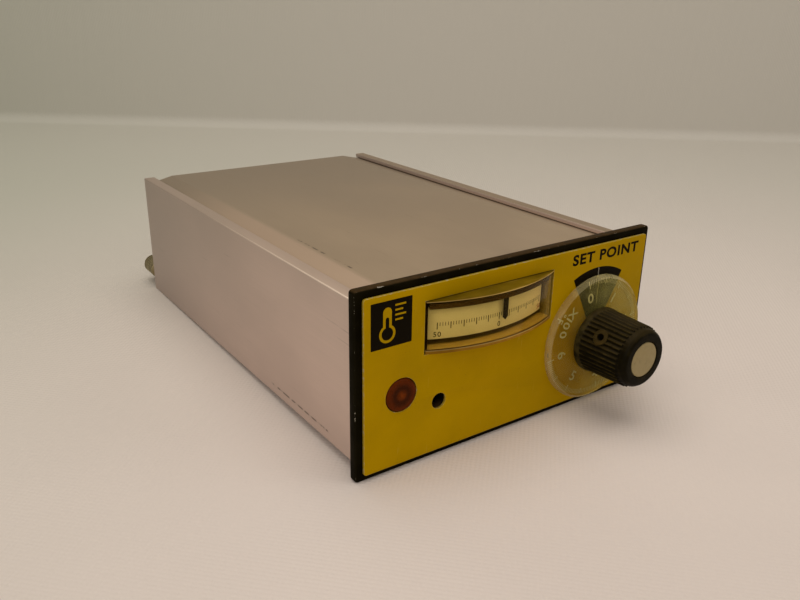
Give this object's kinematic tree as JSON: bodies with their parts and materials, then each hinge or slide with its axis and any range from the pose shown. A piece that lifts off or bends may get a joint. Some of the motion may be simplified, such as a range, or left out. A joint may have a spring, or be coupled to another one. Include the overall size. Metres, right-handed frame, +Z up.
{
  "type": "temperature controller",
  "caption": "Panel-mounting analogue temperature controller: wide bezel, edgewise meter, lamp, trimmer hole and a set-point knob on a clear dial, in a long flat aluminium case.",
  "frame": {"origin": "on the plane of the bezel's lower edge, under the middle of the whole object's width and length", "axes": "+X to the right as the front is seen, +Y from the front to the rear along the case, +Z up"},
  "size_m": [0.144, 0.263, 0.072],
  "materials": {
    "bezel": "black stoved enamel, slightly textured, worn to metal on the edges",
    "front_plate": "mustard yellow satin paint with printed black marks",
    "extrusion": "clear anodised, scratched",
    "cover": "satin grey coated sheet",
    "rear_panel": "satin grey coated sheet",
    "terminal_block": "dark brown phenolic",
    "circuit_board": "green glass epoxy",
    "core_steel": "dull steel",
    "winding": "varnished copper wire",
    "capacitor": "sleeved aluminium can",
    "pot_metal": "plain",
    "brass_parts": "plain",
    "steel_parts": "zinc plated",
    "terminal_screws": "nickel plated brass",
    "dial_disc": "clear, slightly milky acrylic with white figures",
    "knob": "black moulded phenolic with flutes",
    "knob_cap": "satin disc",
    "lens": "dark red, ringed",
    "black_plastic": "moulded",
    "bulb_glass": "clear",
    "meter_window": "clear moulded acrylic",
    "meter_scale": "white with printed black marks",
    "meter_mask": "black",
    "meter_pointer": "black",
    "thumbscrew": "knurled, plain"
  },
  "bodies": {
    "root": {"bezel_frame": "bezel", "front_plate": "front_plate", "side_panel_left": "extrusion", "side_panel_right": "extrusion", "top_cover": "cover", "bottom_cover": "cover", "rear_panel": "rear_panel", "terminal_block": "terminal_block", "main_board": "circuit_board", "front_board": "circuit_board", "transformer_core": "core_steel", "transformer_winding": "winding", "filter_capacitor": "capacitor", "relay_frame": "core_steel", "relay_coil": "winding", "pot_body": "pot_metal", "pot_nut": "brass_parts", "lamp_lens": "lens", "lamp_holder": "black_plastic", "neon_bulb": "bulb_glass", "trimmer_body": "black_plastic", "meter_housing": "black_plastic", "meter_window": "meter_window", "meter_scale": "meter_scale", "meter_mask": "meter_mask", "meter_magnet": "core_steel", "meter_core": "core_steel", "front_screw_1": "steel_parts", "board_standoff_1": "brass_parts", "front_screw_2": "steel_parts", "board_standoff_2": "brass_parts", "front_screw_3": "steel_parts", "board_standoff_3": "brass_parts", "front_screw_4": "steel_parts", "board_standoff_4": "brass_parts", "rear_screw_1": "steel_parts", "terminal_block_screw_1": "steel_parts", "rear_screw_2": "steel_parts", "terminal_block_screw_2": "steel_parts", "terminal_screw_1": "terminal_screws", "terminal_screw_2": "terminal_screws", "terminal_screw_3": "terminal_screws", "terminal_screw_4": "terminal_screws", "terminal_screw_5": "terminal_screws", "terminal_screw_6": "terminal_screws", "terminal_screw_7": "terminal_screws", "terminal_screw_8": "terminal_screws"},
    "setpoint": {"dial_disc": "dial_disc", "setpoint_knob": "knob", "knob_cap": "knob_cap", "knob_set_screw": "steel_parts", "pot_shaft": "steel_parts"},
    "meter_movement": {"meter_coil": "winding", "meter_pointer": "meter_pointer"},
    "trimmer": {"trimmer_screw": "brass_parts"},
    "armature": {"relay_armature": "core_steel"},
    "thumbscrew_lower": {"rear_thumbscrew_1": "thumbscrew"},
    "thumbscrew_upper": {"rear_thumbscrew_2": "thumbscrew"}
  },
  "joints": [
    {"name": "setpoint_turn", "type": "hinge", "parent": "root", "child": "setpoint", "pos_m": [0.0414, -0.1175, 0.0299], "axis": [0, -1, 0], "range_deg": [-12, 258]},
    {"name": "pointer_swing", "type": "hinge", "parent": "root", "child": "meter_movement", "pos_m": [-0.0138, -0.0415, 0.053], "axis": [0, 0, 1], "range_deg": [-25.5, 21], "stiffness_Nm_per_rad": 0.00002},
    {"name": "trimmer_turn", "type": "hinge", "parent": "root", "child": "trimmer", "pos_m": [-0.0371, -0.09, 0.0232], "axis": [0, -1, 0], "range_deg": [-135, 135]},
    {"name": "armature_tilt", "type": "hinge", "parent": "root", "child": "armature", "pos_m": [0.018, 0.0315, 0.0342], "axis": [0, 1, 0], "range_deg": [0, 3], "stiffness_Nm_per_rad": 0.02, "springref_deg": -11.46},
    {"name": "thumbscrew_lower_turn", "type": "hinge", "parent": "root", "child": "thumbscrew_lower", "pos_m": [-0.0643, 0.1225, 0.0135], "axis": [0, 1, 0], "continuous": true},
    {"name": "thumbscrew_upper_turn", "type": "hinge", "parent": "root", "child": "thumbscrew_upper", "pos_m": [0.0643, 0.1225, 0.0573], "axis": [0, 1, 0], "continuous": true}
  ]
}
